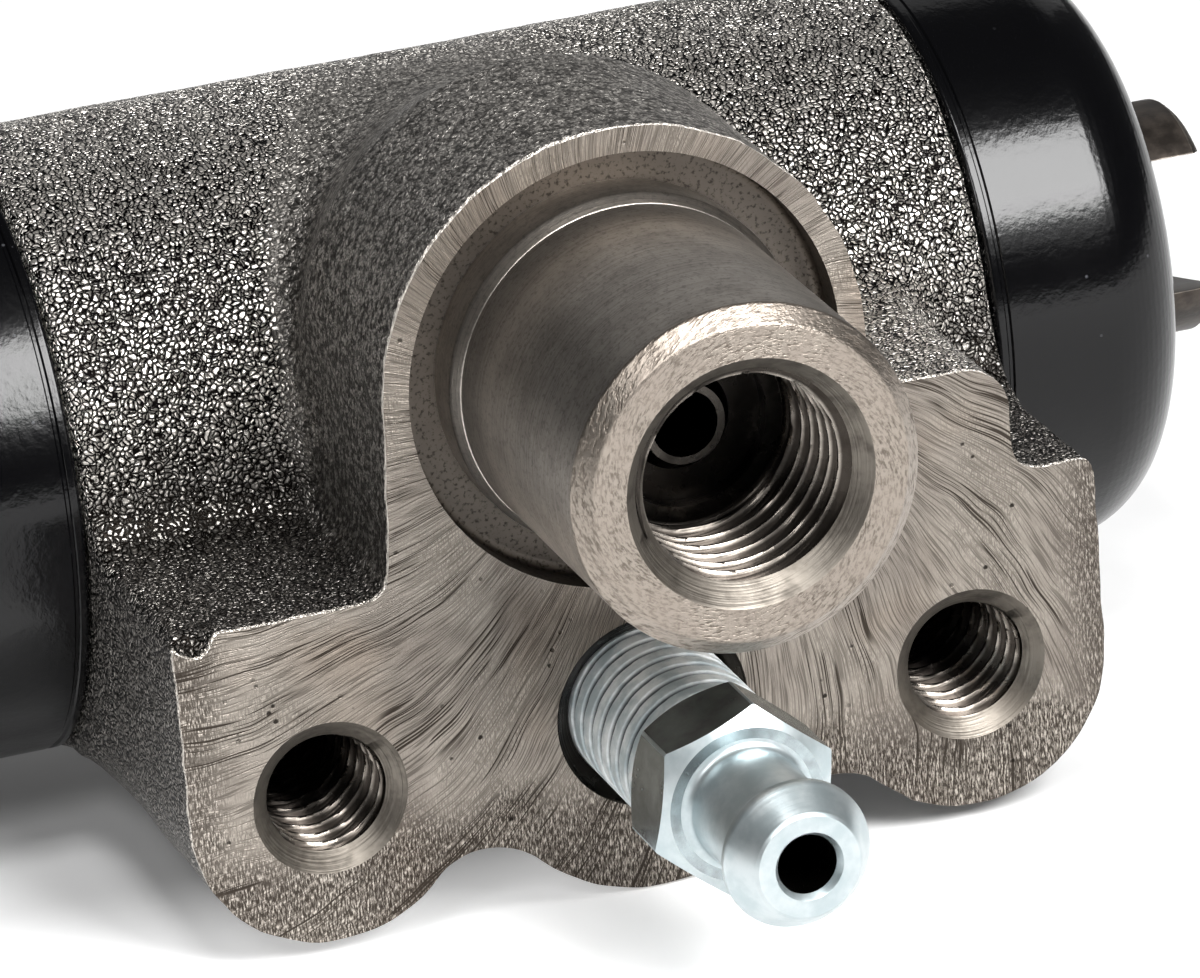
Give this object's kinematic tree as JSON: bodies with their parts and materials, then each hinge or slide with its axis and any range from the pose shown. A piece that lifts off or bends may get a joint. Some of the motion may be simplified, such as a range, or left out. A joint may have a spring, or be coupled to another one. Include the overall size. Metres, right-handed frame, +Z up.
{
  "type": "drum brake wheel cylinder",
  "caption": "Hydraulic wheel cylinder for a drum brake: cast body with mounting flange and inlet spigot, opposed forked pistons, rubber dust boots and a bleeder screw.",
  "frame": {"origin": "centre of the spigot on the plane of the mounting face", "axes": "+X along the bore, -Y out of the mounting face along the spigot, +Z up from the flange towards the spigot"},
  "size_m": [0.0684, 0.0557, 0.0332],
  "materials": {
    "cast_body": "as-cast skin with a milled mounting face and a turned spigot",
    "piston_steel": "dark turned steel",
    "seal_rubber": "moulded rubber",
    "expander_steel": "pressed sheet",
    "spring_steel": "drawn wire",
    "boot_rubber": "satin moulded rubber",
    "zinc_steel": "bright zinc plate"
  },
  "bodies": {
    "housing": {"cylinder_body": "cast_body", "dust_boot_left": "boot_rubber", "dust_boot_right": "boot_rubber", "return_spring": "spring_steel"},
    "left_piston": {"piston_left": "piston_steel", "cup_seal_left": "seal_rubber", "cup_expander_left": "expander_steel"},
    "right_piston": {"piston_right": "piston_steel", "cup_seal_right": "seal_rubber", "cup_expander_right": "expander_steel"},
    "bleeder": {"bleeder_screw": "zinc_steel"}
  },
  "joints": [
    {"name": "left_piston_slide", "type": "slide", "parent": "housing", "child": "left_piston", "axis": [-1, 0, 0], "range_m": [-0.002, 0.006], "stiffness_N_per_m": 1500, "deforming": ["dust_boot_left", "return_spring"]},
    {"name": "right_piston_slide", "type": "slide", "parent": "housing", "child": "right_piston", "axis": [1, 0, 0], "range_m": [-0.002, 0.006], "stiffness_N_per_m": 1500, "deforming": ["dust_boot_right", "return_spring"]},
    {"name": "bleeder_turn", "type": "hinge", "parent": "housing", "child": "bleeder", "pos_m": [0, 0, -0.015], "axis": [0, -1, 0], "range_deg": [0, 360]}
  ]
}
